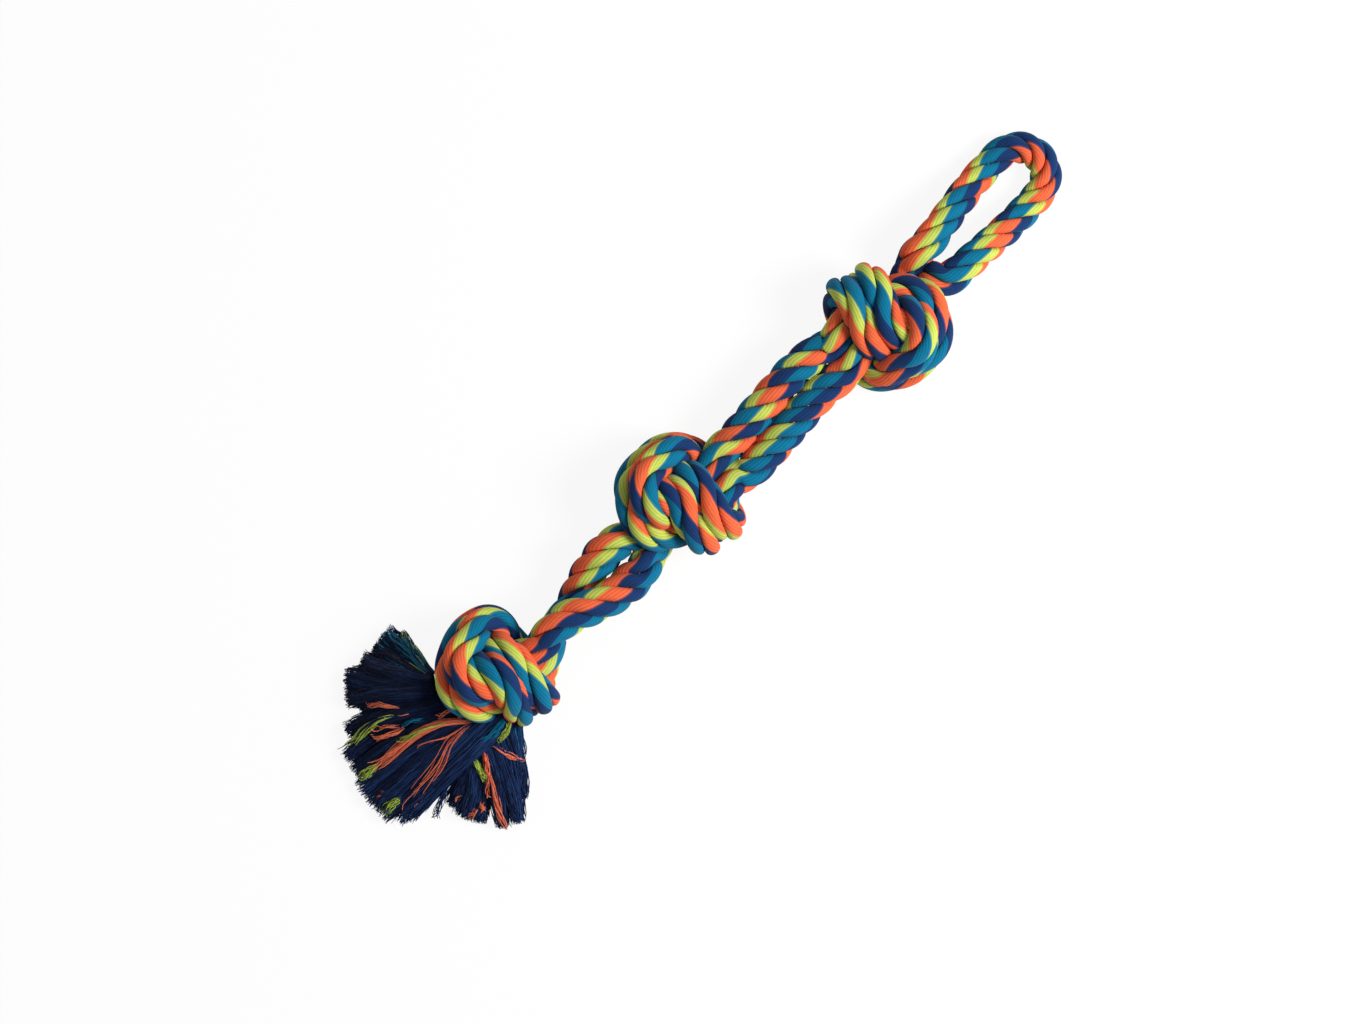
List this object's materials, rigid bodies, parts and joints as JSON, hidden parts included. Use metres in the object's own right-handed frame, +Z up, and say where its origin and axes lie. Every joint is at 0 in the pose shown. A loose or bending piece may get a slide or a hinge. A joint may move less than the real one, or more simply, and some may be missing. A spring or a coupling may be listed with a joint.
{
  "type": "rope dog toy",
  "caption": "Tug and chew toy of thick multicoloured laid cotton rope, doubled over and knotted along its length, with a loop handle at the fold and a frayed tassel at the cut ends.",
  "frame": {"origin": "on the floor under the middle of the toy's overall box", "axes": "+X along the line of knots towards the loop handle, +Z up from the floor the toy lies on"},
  "size_m": [0.5968, 0.1442, 0.065],
  "materials": {
    "rope": "matte laid cotton rope in navy, blue, lime and coral",
    "yarn": "matte frayed cotton yarn, mostly navy"
  },
  "bodies": {
    "middle_knot": {"middle_knot_leg_a": "rope", "middle_knot_leg_b": "rope"},
    "upper_rope": {"upper_rope_leg_a": "rope", "upper_rope_leg_b": "rope"},
    "upper_knot": {"upper_knot_leg_a": "rope", "upper_knot_leg_b": "rope"},
    "handle": {"handle_loop": "rope"},
    "lower_rope": {"lower_rope_leg_a": "rope", "lower_rope_leg_b": "rope"},
    "lower_knot": {"lower_knot_leg_a": "rope", "lower_knot_leg_b": "rope"},
    "tassel_a": {"tassel_strand_1": "yarn", "tassel_strand_2": "yarn", "tassel_strand_3": "yarn", "tassel_strand_4": "yarn"},
    "tassel_b": {"tassel_strand_5": "yarn", "tassel_strand_6": "yarn", "tassel_strand_7": "yarn", "tassel_strand_8": "yarn"}
  },
  "joints": [
    {"name": "upper_bend", "type": "hinge", "parent": "middle_knot", "child": "upper_rope", "pos_m": [0.02, 0.016, 0.02752], "axis": [0, -1, 0], "range_deg": [-40, 40]},
    {"name": "upper_swing", "type": "hinge", "parent": "upper_rope", "child": "upper_knot", "pos_m": [0.08, 0.026, 0.02847], "axis": [0, 0, 1], "range_deg": [-28, 28]},
    {"name": "handle_flop", "type": "hinge", "parent": "upper_knot", "child": "handle", "pos_m": [0.197, 0.032, 0.02847], "axis": [0.1392, -0.9903, 0], "range_deg": [-40, 40]},
    {"name": "lower_bend", "type": "hinge", "parent": "middle_knot", "child": "lower_rope", "pos_m": [-0.082, 0.012, 0.02752], "axis": [0, 1, 0], "range_deg": [-40, 40]},
    {"name": "lower_swing", "type": "hinge", "parent": "lower_rope", "child": "lower_knot", "pos_m": [-0.139, 0.007, 0.03055], "axis": [0, 0, 1], "range_deg": [-40, 40]},
    {"name": "tassel_lift_a", "type": "hinge", "parent": "lower_knot", "child": "tassel_a", "pos_m": [-0.22519, 0.02918, 0.02749], "axis": [0.6606, 0.7507, 0], "range_deg": [0, 45]},
    {"name": "tassel_lift_b", "type": "hinge", "parent": "lower_knot", "child": "tassel_b", "pos_m": [-0.22748, -0.01136, 0.02596], "axis": [-0.6, 0.8, 0], "range_deg": [0, 45]}
  ]
}
